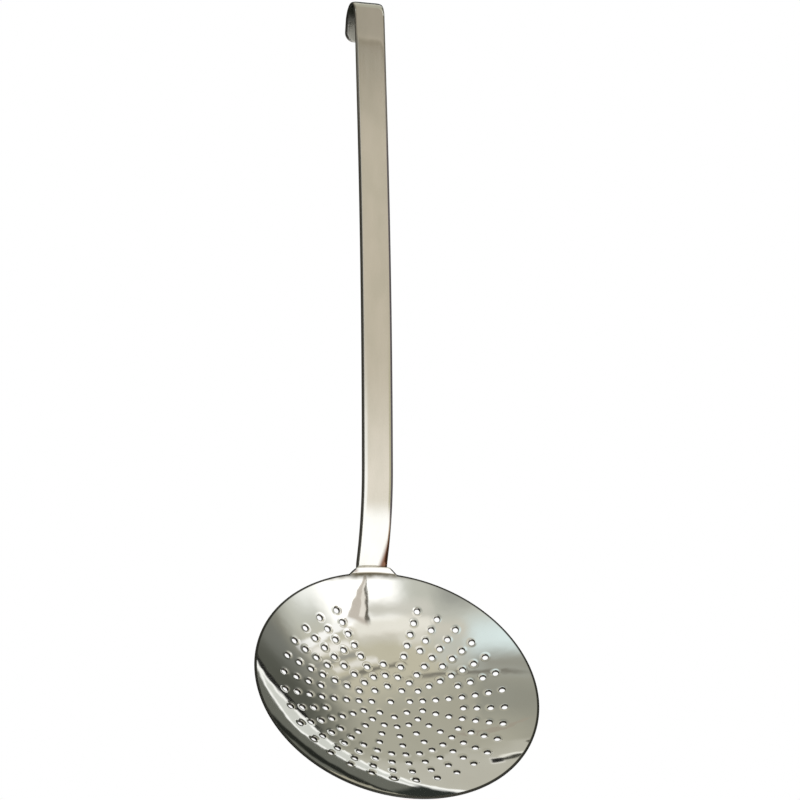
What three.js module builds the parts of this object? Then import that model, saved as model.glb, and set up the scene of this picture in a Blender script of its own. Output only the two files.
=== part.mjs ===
// Skimmer: a shallow perforated steel dish welded to a flat-bar handle that ends in a hanging hook.
// Millimetres, +Z up along the grip, the dish opening towards -Y, the origin where a rail carries the hook.
import * as THREE from 'three';
import { mergeVertices } from 'three/addons/utils/BufferGeometryUtils.js';

// Dish: a spherical cap of sheet steel
const BOWL_DIAMETER = 140;
const BOWL_DEPTH = 16;
const BOWL_SHEET = 1.2;
const BOWL_TILT = 33; // degrees that the dish faces above the horizontal

// Lip: the raised, flared edge of the dish in front of the handle
const LIP_HEIGHT = 3;
const LIP_TOP_WIDTH = 15;
const LIP_FLARE = 5.3;

// Holes: rings of punched holes round one in the middle
const HOLE_DIAMETER = 3;
const RING_PITCH = 6.4;
const HOLE_SPACING_MIN = 6;
const FIRST_RING_HOLES = 8;
const PLAIN_BORDER = 14; // from the outer ring of holes to the rim, at least
const FOOT_MARGIN = 1.3; // sheet left between a hole and the handle's foot, at least

// Handle: one flat bar bent in one plane, from the foot behind the dish up to the hook
const BAR_WIDTH = 16;
const BAR_THICKNESS = 2.5;
const BAR_EDGE = 0.6;
const BAR_CORNER = 5;
const FOOT_LENGTH = 46;
const HEEL_RADIUS = 8;
const SHOULDER_RADIUS = 105;
const SHOULDER_TURN = 25; // degrees
const BOW_LENGTH = 183;
const BOW_TURN = 5; // degrees
const GRIP_LENGTH = 58;
const HOOK_RADIUS = 7.5;
const HOOK_TURN = 162; // degrees
const HOOK_LEG = 10.5;

// Spot welds between the foot and the back of the dish
const SEAT_GAP = 0.4;
const WELD_DIAMETER = 4.5;
const WELD_CLEARANCE = 0.08;
const WELD_COUNT = 3;
const WELD_FROM_RIM = 9;
const WELD_FROM_END = 10;

// Facets
const HOLE_SIDES = 12;
const RIM_FACETS = 128;
const LIP_FACETS = 16;
const LIP_ROWS = 2;
const BORDER_ROWS = 2;
const EDGE_FACETS = 2;
const CORNER_FACETS = 5;
const BEND_TOLERANCE = 0.03; // from a bend to its facets, at most
const WELD_SIDES = 20;

const radians = THREE.MathUtils.degToRad;
const tilt = radians(BOWL_TILT);
const rimRadius = BOWL_DIAMETER / 2;
const sphereRadius = (rimRadius ** 2 + BOWL_DEPTH ** 2) / (2 * BOWL_DEPTH);
const rimAngle = Math.asin(rimRadius / sphereRadius);

// Where the bar lies: its middle plane runs at one distance outside the inner face of the dish.
const barOffset = BOWL_SHEET + SEAT_GAP + BAR_THICKNESS / 2;
const footRadius = sphereRadius + barOffset;
const footAngle = FOOT_LENGTH / footRadius;
const footEndRadius = sphereRadius * Math.sin(rimAngle - footAngle);
const neckLean = radians(SHOULDER_TURN + BOW_TURN);
const heelTurn = neckLean - (rimAngle - tilt);

const steel = (color, roughness) => new THREE.MeshStandardMaterial({ color, roughness, metalness: 1 });
const dishSteel = steel(0xd3d1c9, 0.12);
const barSteel = steel(0xbdb8ab, 0.24);
const weldSteel = steel(0x8d8a84, 0.5);

/** A closed mesh from points and triangles, with shared points merged. */
function solid(points, triangles) {
  const geometry = new THREE.BufferGeometry();
  geometry.setAttribute('position', new THREE.Float32BufferAttribute(points.flatMap((p) => p.toArray()), 3));
  geometry.setIndex(triangles.flat());
  const merged = mergeVertices(geometry, 1e-5);
  merged.computeVertexNormals();
  return merged;
}

/** Sorted angles with repeats left out. */
function distinct(angles) {
  const sorted = [...angles].sort((a, b) => a - b);
  return sorted.filter((angle, i) => i === 0 || angle - sorted[i - 1] > 1e-6);
}

// The blank of the dish: its flat pattern as triangles, with polar points (r, angle from the handle).

/** Holes in a ring: the count doubles as often as the least spacing allows. */
function holesInRing(radius) {
  let count = FIRST_RING_HOLES;
  while ((2 * Math.PI * radius) / (2 * count) >= HOLE_SPACING_MIN) count *= 2;
  return count;
}

/** Height of the lip above the rim: an S-shaped flare up to a level top. */
function lipHeight(angle) {
  const beyondTop = Math.abs(rimRadius * angle) - LIP_TOP_WIDTH / 2;
  return LIP_HEIGHT * (1 - THREE.MathUtils.smoothstep(beyondTop, 0, LIP_FLARE));
}

/** True where a hole would break into the land that the foot is welded to. */
function coveredByFoot(radius, angle) {
  const reach = HOLE_DIAMETER / 2 + FOOT_MARGIN;
  const sideways = Math.abs(radius * Math.sin(angle));
  const upward = radius * Math.cos(angle);
  return sideways < BAR_WIDTH / 2 + reach && upward > footEndRadius - reach;
}

class Blank {
  constructor() {
    this.points = [];
    this.triangles = [];
    this.numbers = new Map();
  }

  point(x, y) {
    const key = `${x.toFixed(5)},${y.toFixed(5)}`;
    if (!this.numbers.has(key)) {
      this.numbers.set(key, this.points.length);
      this.points.push(new THREE.Vector2(x, y));
    }
    return this.numbers.get(key);
  }

  /** Adds a triangle anticlockwise, or nothing where two of its points fall together. */
  triangle(a, b, c) {
    const [i, j, k] = [a, b, c].map((p) => this.point(p.x, p.y));
    if (i === j || j === k || k === i) return;
    const side = b.clone().sub(a).cross(c.clone().sub(a));
    this.triangles.push(side > 0 ? [i, j, k] : [i, k, j]);
  }

  /** Adds a patch of sheet with an optional hole. */
  patch(outline, hole) {
    const corners = hole ? [...outline, ...hole] : outline;
    const faces = THREE.ShapeUtils.triangulateShape(outline, hole ? [hole] : []);
    faces.forEach((face) => this.triangle(...face.map((i) => corners[i])));
  }

  /** Adds rows of sheet between an inner and an outer edge, each a list of points. */
  strip(inner, outer, rows) {
    const edge = (row) => inner.map((p, i) => p.clone().lerp(outer[i], row / rows));
    for (let row = 0; row < rows; row += 1) {
      const low = edge(row);
      const high = edge(row + 1);
      for (let i = 0; i + 1 < low.length; i += 1) {
        this.triangle(low[i], low[i + 1], high[i + 1]);
        this.triangle(low[i], high[i + 1], high[i]);
      }
    }
  }
}

const polar = (radius, angle) => new THREE.Vector2(radius * Math.sin(angle), radius * Math.cos(angle));

function circle(centre, radius, sides, start) {
  const angles = Array.from({ length: sides }, (_, i) => start + (i * 2 * Math.PI) / sides);
  return angles.map((angle) => polar(radius, angle).add(centre));
}

/** The punched disc: a cell of sheet for every hole or plain place, then the border and the lip. */
function punchedBlank() {
  const blank = new Blank();
  const ringCount = Math.floor((rimRadius - PLAIN_BORDER) / RING_PITCH - 0.5);
  const ringRadius = (ring) => (ring + 0.5) * RING_PITCH;
  const rings = Array.from({ length: ringCount }, (_, i) => ({
    radius: ringRadius(i + 1),
    count: holesInRing(ringRadius(i + 1)),
  }));

  const cellEdges = (count) => Array.from({ length: count }, (_, i) => ((i + 0.5) * 2 * Math.PI) / count);
  const evenSteps = Array.from({ length: RIM_FACETS }, (_, i) => (i * 2 * Math.PI) / RIM_FACETS);
  const lipReach = (LIP_TOP_WIDTH / 2 + LIP_FLARE) / rimRadius;
  const lipSteps = Array.from({ length: LIP_FACETS + 1 }, (_, i) => lipReach * ((2 * i) / LIP_FACETS - 1));
  const wrapped = lipSteps.map((angle) => THREE.MathUtils.euclideanModulo(angle, 2 * Math.PI));
  const rimAngles = distinct([...evenSteps, ...wrapped, ...cellEdges(rings.at(-1).count)]);

  // Angles of the points on the circle between two rings: the cell edges on both of its sides
  const circleAngles = rings.map((ring, i) => {
    const inside = i > 0 ? cellEdges(rings[i - 1].count) : [];
    return distinct([...cellEdges(ring.count), ...inside]);
  });
  circleAngles.push(rimAngles);

  const arc = (index, from, to) => {
    const turns = [-2 * Math.PI, 0, 2 * Math.PI];
    const nearby = turns.flatMap((turn) => circleAngles[index].map((angle) => angle + turn));
    const within = nearby.filter((angle) => angle > from + 1e-6 && angle < to - 1e-6);
    return [from, ...distinct(within), to].map((angle) => polar((index + 1) * RING_PITCH, angle));
  };

  const middle = circleAngles[0].map((angle) => polar(RING_PITCH, angle));
  blank.patch(middle, circle(new THREE.Vector2(), HOLE_DIAMETER / 2, HOLE_SIDES, 0));

  rings.forEach((ring, index) => {
    const step = (2 * Math.PI) / ring.count;
    for (let i = 0; i < ring.count; i += 1) {
      const angle = i * step;
      const inner = arc(index, angle - step / 2, angle + step / 2);
      const outer = arc(index + 1, angle - step / 2, angle + step / 2);
      const signed = angle > Math.PI ? angle - 2 * Math.PI : angle;
      const hole = circle(polar(ring.radius, angle), HOLE_DIAMETER / 2, HOLE_SIDES, angle);
      blank.patch([...inner, ...outer.reverse()], coveredByFoot(ring.radius, signed) ? null : hole);
    }
  });

  const allRound = [...rimAngles, rimAngles[0] + 2 * Math.PI];
  const border = allRound.map((angle) => polar((ringCount + 1) * RING_PITCH, angle));
  const rim = allRound.map((angle) => polar(rimRadius, angle));
  blank.strip(border, rim, BORDER_ROWS);

  const overLip = distinct([...rimAngles, ...rimAngles.map((angle) => angle - 2 * Math.PI)])
    .filter((angle) => Math.abs(angle) < lipReach + 1e-6);
  const lipFoot = overLip.map((angle) => polar(rimRadius, angle));
  const lipTop = overLip.map((angle) => polar(rimRadius + lipHeight(angle), angle));
  blank.strip(lipFoot, lipTop, LIP_ROWS);
  return blank;
}

/**
 * A point of the pressed dish from a point of the blank, on the inner face (depth 0) or the outer one.
 * Up to the rim the sheet is a sphere round the local origin. The lip then bends forward round the heel.
 */
function pressed(flat, depth) {
  const radius = flat.length();
  const around = radius > 0 ? flat.clone().divideScalar(radius) : flat.clone();
  const onSphere = Math.min(radius, rimRadius);
  const lean = Math.asin(onSphere / sphereRadius);
  const lip = radius - onSphere;
  const bend = Math.min(lip / HEEL_RADIUS, heelTurn);
  const straight = lip - bend * HEEL_RADIUS;
  const bendRadius = sphereRadius - HEEL_RADIUS;
  const faceRadius = lip > 0 ? HEEL_RADIUS + depth : sphereRadius + depth;
  const centre = lip > 0 ? bendRadius : 0;
  const facing = lean + bend;
  const outward = centre * Math.sin(lean) + faceRadius * Math.sin(facing) + straight * Math.cos(facing);
  const forward = -centre * Math.cos(lean) - faceRadius * Math.cos(facing) + straight * Math.sin(facing);
  return new THREE.Vector3(around.x * outward, around.y * outward, forward);
}

/** The dish: both faces of the blank pressed to shape, and a wall along every cut edge. */
function makeBowl() {
  const { points, triangles } = punchedBlank();
  const count = points.length;
  const faces = [...points.map((p) => pressed(p, 0)), ...points.map((p) => pressed(p, BOWL_SHEET))];
  const walls = new Map();
  triangles.forEach(([a, b, c]) => {
    [[a, b], [b, c], [c, a]].forEach(([from, to]) => {
      if (!walls.delete(`${to},${from}`)) walls.set(`${from},${to}`, [from, to]);
    });
  });
  const skin = triangles.flatMap(([a, b, c]) => [[a, b, c], [a + count, c + count, b + count]]);
  const edges = [...walls.values()].flatMap(([from, to]) => [
    [from, from + count, to + count],
    [from, to + count, to],
  ]);
  const bowl = new THREE.Mesh(solid(faces, [...skin, ...edges]), dishSteel);
  bowl.name = 'bowl';
  bowl.rotation.x = Math.PI / 2 - tilt;
  return bowl;
}

/** The middle line of the bar in side view: arcs and straights, each joining the last without a kink. */
class Spine {
  constructor(forward, up, heading) {
    this.end = { forward, up, heading };
    this.length = 0;
    this.pieces = [];
  }

  add(length, turn) {
    const piece = { start: this.end, from: this.length, length, turn };
    this.pieces.push(piece);
    this.length += length;
    this.end = this.along(piece, length);
    return this;
  }

  arc(radius, turn) {
    return this.add(radius * Math.abs(turn), turn);
  }

  along({ start, length, turn }, distance) {
    const half = (turn * distance) / length / 2;
    const chord = distance * (half === 0 ? 1 : Math.sin(half) / half);
    return {
      forward: start.forward + chord * Math.sin(start.heading + half),
      up: start.up + chord * Math.cos(start.heading + half),
      heading: start.heading + 2 * half,
    };
  }

  at(distance) {
    const piece = this.pieces.findLast(({ from }) => from <= distance + 1e-9);
    return this.along(piece, distance - piece.from);
  }

  /** Distances to put sections at: the ends of every piece and even steps between them. */
  steps() {
    return this.pieces.flatMap(({ from, length, turn }) => {
      const count = Math.max(1, Math.ceil(Math.sqrt((length * Math.abs(turn)) / (8 * BEND_TOLERANCE))));
      return Array.from({ length: count + 1 }, (_, i) => from + (length * i) / count);
    });
  }
}

const footHeading = rimAngle - footAngle - tilt;
const hookMiddle = HOOK_RADIUS + BAR_THICKNESS / 2;
const gripEnd = new Spine(-footRadius * Math.cos(footHeading), footRadius * Math.sin(footHeading), footHeading)
  .add(FOOT_LENGTH, footAngle)
  .arc(HEEL_RADIUS + barOffset, heelTurn)
  .arc(SHOULDER_RADIUS, -radians(SHOULDER_TURN))
  .add(BOW_LENGTH, -radians(BOW_TURN))
  .add(GRIP_LENGTH, 0);
const hookSeat = { forward: gripEnd.end.forward - hookMiddle, up: gripEnd.end.up + HOOK_RADIUS };
const spine = gripEnd.arc(hookMiddle, -radians(HOOK_TURN)).add(HOOK_LEG, 0);

/** Half the bar's width at a distance along it: full, with round corners at both ends. */
function halfWidth(distance) {
  const fromEnd = Math.min(distance, spine.length - distance, BAR_CORNER);
  return BAR_WIDTH / 2 - BAR_CORNER + Math.sqrt(BAR_CORNER ** 2 - (BAR_CORNER - fromEnd) ** 2);
}

/** A section across the bar: a rectangle with round edges, clockwise seen along the bar. */
function barSection(distance) {
  const { forward, up, heading } = spine.at(distance);
  const corners = [[1, 1], [-1, 1], [-1, -1], [1, -1]];
  return corners.flatMap(([side, face], quarter) => {
    const x = side * (halfWidth(distance) - BAR_EDGE);
    const y = face * (BAR_THICKNESS / 2 - BAR_EDGE);
    return Array.from({ length: EDGE_FACETS + 1 }, (_, i) => {
      const turn = ((quarter + i / EDGE_FACETS) * Math.PI) / 2;
      const across = x + BAR_EDGE * Math.cos(turn);
      const front = y + BAR_EDGE * Math.sin(turn);
      return new THREE.Vector3(
        across,
        -(forward + front * Math.cos(heading)),
        up - front * Math.sin(heading),
      );
    });
  });
}

/** The handle: sections of the bar joined along its middle line, closed at both ends. */
function makeHandle() {
  const rounding = Array.from({ length: CORNER_FACETS }, (_, i) =>
    BAR_CORNER * (1 - Math.cos(((i + 1) * Math.PI) / 2 / CORNER_FACETS)));
  const ends = rounding.flatMap((distance) => [distance, spine.length - distance]);
  const sections = distinct([...spine.steps(), ...ends]).map(barSection);
  const sides = sections[0].length;
  const number = (section, side) => section * sides + (side % sides);
  const triangles = [];
  for (let section = 0; section + 1 < sections.length; section += 1) {
    for (let side = 0; side < sides; side += 1) {
      const [a, b] = [number(section, side), number(section, side + 1)];
      const [c, d] = [number(section + 1, side), number(section + 1, side + 1)];
      triangles.push([a, d, b], [a, c, d]);
    }
  }
  const last = sections.length - 1;
  for (let side = 1; side + 1 < sides; side += 1) {
    triangles.push([number(0, 0), number(0, side), number(0, side + 1)]);
    triangles.push([number(last, 0), number(last, side + 1), number(last, side)]);
  }
  const handle = new THREE.Mesh(solid(sections.flat(), triangles), barSteel);
  handle.name = 'handle';
  return handle;
}

/** A weld: a thin round nugget in the gap between the back of the dish and the foot, one of an even row. */
function makeWeld(index) {
  const thickness = SEAT_GAP - 2 * WELD_CLEARANCE;
  const radius = sphereRadius + BOWL_SHEET + SEAT_GAP / 2;
  const pitch = (FOOT_LENGTH - WELD_FROM_RIM - WELD_FROM_END) / (WELD_COUNT - 1);
  const heading = rimAngle - tilt - (WELD_FROM_RIM + index * pitch) / footRadius;
  const geometry = new THREE.CylinderGeometry(WELD_DIAMETER / 2, WELD_DIAMETER / 2, thickness, WELD_SIDES);
  geometry.deleteAttribute('normal');
  geometry.deleteAttribute('uv');
  const weld = new THREE.Mesh(mergeVertices(geometry, 1e-5), weldSteel);
  weld.geometry.computeVertexNormals();
  weld.name = `spot_weld_${index + 1}`;
  weld.position.set(0, radius * Math.cos(heading), radius * Math.sin(heading));
  weld.rotation.x = heading;
  return weld;
}

const skimmer = new THREE.Group();
skimmer.name = 'skimmer';
skimmer.add(makeBowl(), makeHandle());
for (let index = 0; index < WELD_COUNT; index += 1) skimmer.add(makeWeld(index));

// The pieces are laid out round the centre of the dish's sphere, then moved to hang from the origin.
skimmer.position.set(0, hookSeat.forward, -hookSeat.up);
skimmer.updateMatrixWorld(true);

export default skimmer;
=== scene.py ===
"""A kitchen skimmer: a perforated steel dish welded to a flat steel handle that ends in a hanging hook.

Sizes are in millimetres and turns in radians unless a name says otherwise. The meshes are in metres, with
x to the right seen from the front, y to the back, z up, and the origin where a rail carries the hook.
"""
import math

import bpy
import numpy as np
from mathutils import Matrix, Vector


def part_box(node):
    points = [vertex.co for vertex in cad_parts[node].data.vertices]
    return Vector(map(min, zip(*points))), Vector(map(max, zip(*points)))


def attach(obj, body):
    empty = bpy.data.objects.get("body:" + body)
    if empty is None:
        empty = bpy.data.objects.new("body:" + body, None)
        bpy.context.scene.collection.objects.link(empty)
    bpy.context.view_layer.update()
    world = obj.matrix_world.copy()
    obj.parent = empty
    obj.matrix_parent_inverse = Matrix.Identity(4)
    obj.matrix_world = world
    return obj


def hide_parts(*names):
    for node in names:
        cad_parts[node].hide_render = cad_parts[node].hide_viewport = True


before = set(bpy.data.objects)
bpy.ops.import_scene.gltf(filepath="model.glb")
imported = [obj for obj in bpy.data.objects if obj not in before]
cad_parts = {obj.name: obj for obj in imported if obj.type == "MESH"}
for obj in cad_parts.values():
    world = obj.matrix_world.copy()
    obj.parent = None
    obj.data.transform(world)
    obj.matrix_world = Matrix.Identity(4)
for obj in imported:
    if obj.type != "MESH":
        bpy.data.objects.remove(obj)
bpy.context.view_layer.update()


# The dish is one disc of stainless sheet, punched with rings of holes, pressed into a shallow bowl and
# polished all over. The punch draws the sheet in round every hole and leaves it a little smaller, the cut
# edges are rounded by the polishing, and a short lip is bent up from the rim in front of the handle.
METRES = 0.001
DISH_DIAMETER = 140.0
DISH_DEPTH = 16.0
DISH_TILT = math.radians(33)
SHEET = 1.2
RIM_EDGE = 0.6
LIP_HEIGHT = 3.0
LIP_TOP_WIDTH = 15.0
LIP_FLARE = 5.3
LIP_RADIUS = 0.7
HEEL_TURN = math.radians(37.25)

PUNCH_RADIUS = 1.5
HOLE_RADIUS = 1.35
HOLE_ROLL = 0.5
HOLE_EDGE = 0.1
HOLE_DRAW = 0.15
DRAW_RADIUS = 3.1
RING_PITCH = 6.4
RING_COUNT = 8
HOLE_SPACING_MIN = 6.0
FIRST_RING_HOLES = 8
FOOT_LENGTH = 46.0
FOOT_MARGIN = 1.3
BAR_WIDTH = 16.0
BAR_THICKNESS = 2.5
SEAT_GAP = 0.4

NO_HOLE = 1e6
FIRST_CIRCLE_POINTS = 32
SIDE_STEPS = 6
FACE_SHARES = np.array([0, 0.5])
DRAW_SHARES = np.array([0, 0.35, 0.7])
PLAIN_SHARES = np.array([1, 0.66, 0.33, 0, 0, 0.33, 0.66, 1])
LIP_ROWS = 9
BORDER_ROWS = 5
CROWDED = 0.7
CROWDED_TURN = math.radians(20)
EDGE_TURNS_DEGREES = (0, 18, 36, 54, 72, 90, 90, 135, 180)

rim_radius = DISH_DIAMETER / 2
sphere_radius = (rim_radius**2 + DISH_DEPTH**2) / (2 * DISH_DEPTH)
rim_turn = math.asin(rim_radius / sphere_radius)
foot_radius = sphere_radius + SHEET + SEAT_GAP + BAR_THICKNESS / 2
foot_turn = FOOT_LENGTH / foot_radius
foot_end = sphere_radius * math.sin(rim_turn - foot_turn)

# The rim's low end is the lowest and foremost place of the dish, which gives the centre of its sphere.
dish_low = np.array(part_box("bowl")[0]) / METRES
dish_centre = np.array([
    0,
    dish_low[1] - sphere_radius * math.cos(DISH_TILT + rim_turn),
    dish_low[2] + (sphere_radius + SHEET) * math.sin(DISH_TILT + rim_turn),
])
dish_right = np.array([1, 0, 0])
dish_handleward = np.array([0, math.sin(DISH_TILT), math.cos(DISH_TILT)])
dish_facing = np.array([0, -math.cos(DISH_TILT), math.sin(DISH_TILT)])


def smoothstep(share):
    """0 up to 0, 1 from 1 on, and 3 s^2 - 2 s^3 between."""
    held = np.clip(share, 0, 1)
    return held * held * (3 - 2 * held)


def polar(radius, turn):
    """Points of the flat blank: radius from its middle, turn from the side of the handle."""
    return np.stack(np.broadcast_arrays(radius * np.sin(turn), radius * np.cos(turn)), -1)


def pressed(flat, depth, holes):
    """Where the press puts points of the blank, whose inner face has depth 0 and outer face depth SHEET.

    The blank becomes a sphere up to the rim, and the lip beyond it bends forward as far as the heel does.
    From DRAW_RADIUS in to its hole, the sheet is drawn back by HOLE_DRAW times the square of the share of
    that way. Points of plain metal have their hole at NO_HOLE, far off.
    """
    to_hole = np.linalg.norm(flat - holes, axis=-1)
    near_hole = np.clip((DRAW_RADIUS - to_hole) / (DRAW_RADIUS - HOLE_RADIUS), 0, 1)
    depth = depth + HOLE_DRAW * near_hole**2
    radius = np.linalg.norm(flat, axis=-1)
    lean = np.arcsin(np.minimum(radius, rim_radius) / sphere_radius)
    lip = np.maximum(radius - rim_radius, 0)
    bend = np.minimum(lip / LIP_RADIUS, HEEL_TURN)
    straight = lip - bend * LIP_RADIUS
    centre = np.where(lip > 0, sphere_radius - LIP_RADIUS, 0)
    face = np.where(lip > 0, LIP_RADIUS, sphere_radius) + depth
    outward = centre * np.sin(lean) + face * np.sin(lean + bend) + straight * np.cos(lean + bend)
    forward = straight * np.sin(lean + bend) - centre * np.cos(lean) - face * np.cos(lean + bend)
    around = flat * (outward / np.maximum(radius, 1e-9))[..., None]
    return (
        dish_centre
        + around[..., :1] * dish_right
        + around[..., 1:] * dish_handleward
        + forward[..., None] * dish_facing
    )


def pressed_normals(flat, depth, holes, blank_normals):
    """Normals after pressing: each part of a blank's normal goes with the cross product of the other two
    tangents of the press, which are differences over a small step to both sides."""
    step = 1e-3
    aside, along = np.array([step, 0]), np.array([0, step])
    right = pressed(flat + aside, depth, holes) - pressed(flat - aside, depth, holes)
    up = pressed(flat + along, depth, holes) - pressed(flat - along, depth, holes)
    back = pressed(flat, depth + step, holes) - pressed(flat, depth - step, holes)
    carried = (
        blank_normals[..., 0:1] * np.cross(back, up)
        + blank_normals[..., 1:2] * np.cross(right, back)
        + blank_normals[..., 2:3] * np.cross(up, right)
    )
    return carried / np.linalg.norm(carried, axis=-1, keepdims=True)


def rounded_edge(inner_radius, outer_radius):
    """A cut edge of the sheet from face to face: how far in from the cut, how deep, and the turn of its
    normal, which is 0 on the inner face, a quarter on the cut and a half on the outer face."""
    turn = np.radians(EDGE_TURNS_DEGREES)
    first = np.arange(turn.size) < turn.size / 2
    radius = np.where(first, inner_radius, outer_radius)
    inset = radius * (1 - np.sin(turn))
    depth = np.where(first, 0, SHEET - 2 * radius) + radius * (1 - np.cos(turn))
    return inset, depth, turn


def grid_triangles(shape):
    """Triangles over a grid of numbered points whose last row joins its first."""
    numbers = np.arange(shape[0] * shape[1]).reshape(shape)
    rows = np.concatenate([numbers, numbers[:1]])
    a, b, c, d = rows[:-1, :-1], rows[1:, :-1], rows[1:, 1:], rows[:-1, 1:]
    return np.concatenate([np.stack([a, b, c], -1).reshape(-1, 3), np.stack([a, c, d], -1).reshape(-1, 3)])


def circle_points(index):
    """Points on the circle inside a ring of cells: twice as many each time its radius doubles."""
    return FIRST_CIRCLE_POINTS * 2 ** math.ceil(math.log2(index))


def holes_in_ring(radius):
    """The count doubles as often as the least spacing allows."""
    doublings = math.floor(math.log2(2 * math.pi * radius / HOLE_SPACING_MIN / FIRST_RING_HOLES))
    return FIRST_RING_HOLES * 2 ** max(doublings, 0)


def cell_loops(ring):
    """Points round the cells of a ring: along the inner arc, out, along the outer arc and back in."""
    if ring == 0:
        turn = np.linspace(np.pi, -np.pi, circle_points(1), endpoint=False)
        return polar(RING_PITCH, turn)[None], np.zeros((1, 1, 2))
    middle = (ring + 0.5) * RING_PITCH
    count = holes_in_ring(middle)
    inner, outer, half = ring * RING_PITCH, (ring + 1) * RING_PITCH, np.pi / count
    inner_steps, outer_steps = circle_points(ring) // count, circle_points(ring + 1) // count
    side = np.linspace(inner, outer, SIDE_STEPS, endpoint=False)
    radius = np.concatenate([
        np.full(inner_steps, inner), side, np.full(outer_steps, outer), inner + outer - side,
    ])
    turn = np.concatenate([
        np.linspace(-half, half, inner_steps, endpoint=False),
        np.full(SIDE_STEPS, half),
        np.linspace(half, -half, outer_steps, endpoint=False),
        np.full(SIDE_STEPS, -half),
    ])
    turns = np.arange(count) * 2 * np.pi / count
    return polar(radius, turn + turns[:, None]), polar(middle, turns)[:, None]


def covered_by_foot(places):
    """True for places whose hole would break into the land that the handle's foot is welded to."""
    reach = PUNCH_RADIUS + FOOT_MARGIN
    return (np.abs(places[..., 0]) < BAR_WIDTH / 2 + reach) & (places[..., 1] > foot_end - reach)


def spokes(loops, centres, distance, depth, turn):
    """Lines of points from each loop of a cell towards its centre, at the given distances from it."""
    direction = loops - centres
    direction = direction / np.linalg.norm(direction, axis=-1, keepdims=True)
    flat = centres[..., None, :] + distance[..., None] * direction[..., None, :]
    inward = -np.sin(turn)[:, None] * direction[..., None, :]
    upright = np.broadcast_to(-np.cos(turn)[:, None], inward.shape[:-1] + (1,))
    depth = np.broadcast_to(depth, flat.shape[:-1])
    return flat, depth, np.concatenate([inward, upright], -1)


def holed_cells(loops, centres):
    """Cells with a hole: in along the inner face, over the hole's edges and out along the outer face."""
    reach = np.linalg.norm(loops - centres, axis=-1)[..., None]
    inset, edge_depth, edge_turn = rounded_edge(HOLE_ROLL, HOLE_EDGE)
    drawn = DRAW_RADIUS + (HOLE_RADIUS + HOLE_ROLL - DRAW_RADIUS) * DRAW_SHARES
    outer = reach + (DRAW_RADIUS - reach) * FACE_SHARES
    drawn = np.broadcast_to(drawn, reach.shape[:-1] + drawn.shape)
    edge = np.broadcast_to(HOLE_RADIUS + inset, reach.shape[:-1] + inset.shape)
    distance = np.concatenate([outer, drawn, edge, drawn[..., ::-1], outer[..., ::-1]], -1)
    face = np.zeros(outer.shape[-1] + drawn.shape[-1])
    depth = np.concatenate([face, edge_depth, face + SHEET])
    turn = np.concatenate([face, edge_turn, face + np.pi])
    holes = np.broadcast_to(centres[..., None, :], distance.shape + (2,))
    return *spokes(loops, centres, distance, depth, turn), holes


def plain_cells(loops, centres):
    """Cells with no hole: both faces run in to the middle of the cell."""
    reach = np.linalg.norm(loops - centres, axis=-1)[..., None]
    distance = reach * PLAIN_SHARES
    outer_face = np.arange(distance.shape[-1]) >= distance.shape[-1] / 2
    holes = np.full(distance.shape + (2,), NO_HOLE)
    return *spokes(loops, centres, distance, outer_face * SHEET, outer_face * np.pi), holes


def border():
    """The plain border from the last ring of cells out to the rim and lip, over the edge and back in.

    The rim's outline is rim_radius plus the lip, an S-shaped flare up to a level top. Columns of points
    leave the cells at even turns and crowd towards the lip: turn - c w e^(-w^2 / 2), with w the turn over
    CROWDED_TURN and c the share CROWDED of CROWDED_TURN, brought in over the border's rows.
    """
    inner = (RING_COUNT + 1) * RING_PITCH
    count = circle_points(RING_COUNT + 1)
    even = (np.arange(count) / count * 2 - 1) * np.pi
    wide = even / CROWDED_TURN
    crowded = even - CROWDED * CROWDED_TURN * wide * np.exp(-wide * wide / 2)

    def outline(turn):
        """The rim's edge at a turn: the circle, and LIP_HEIGHT more up to half the lip's top width."""
        beyond_top = (np.abs(rim_radius * turn) - LIP_TOP_WIDTH / 2) / LIP_FLARE
        return polar(rim_radius + LIP_HEIGHT * (1 - smoothstep(beyond_top)), turn)

    step = 1e-4
    along = outline(crowded + step) - outline(crowded - step)
    outward = np.stack([-along[:, 1], along[:, 0]], -1)
    outward = outward / np.linalg.norm(outward, axis=-1, keepdims=True)
    inset, edge_depth, edge_turn = rounded_edge(RIM_EDGE, RIM_EDGE)
    edge = outline(crowded)[:, None] - inset[:, None] * outward[:, None]
    rows = np.linspace(0, 1, BORDER_ROWS, endpoint=False)
    band_turn = even[:, None] + (crowded - even)[:, None] * rows
    band = polar(inner + (rim_radius - RIM_EDGE - inner) * rows, band_turn)
    foot = polar(rim_radius - RIM_EDGE, crowded)[:, None]
    lip = foot + (edge[:, :1] - foot) * np.linspace(0, 1, LIP_ROWS, endpoint=False)[:, None]
    face = np.concatenate([band, lip], 1)
    flat = np.concatenate([face, edge, face[:, ::-1]], 1)
    level = np.zeros(face.shape[1])
    depth = np.concatenate([level, edge_depth, level + SHEET])
    turn = np.concatenate([level, edge_turn, level + np.pi])
    sideways = np.sin(turn)[:, None] * outward[:, None]
    upright = np.broadcast_to(-np.cos(turn)[:, None], sideways.shape[:-1] + (1,))
    normals = np.concatenate([sideways, upright], -1)
    depth = np.broadcast_to(depth, flat.shape[:-1])
    holes = np.full_like(flat, NO_HOLE)
    return flat[None], depth[None], normals[None], holes[None]


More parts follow.
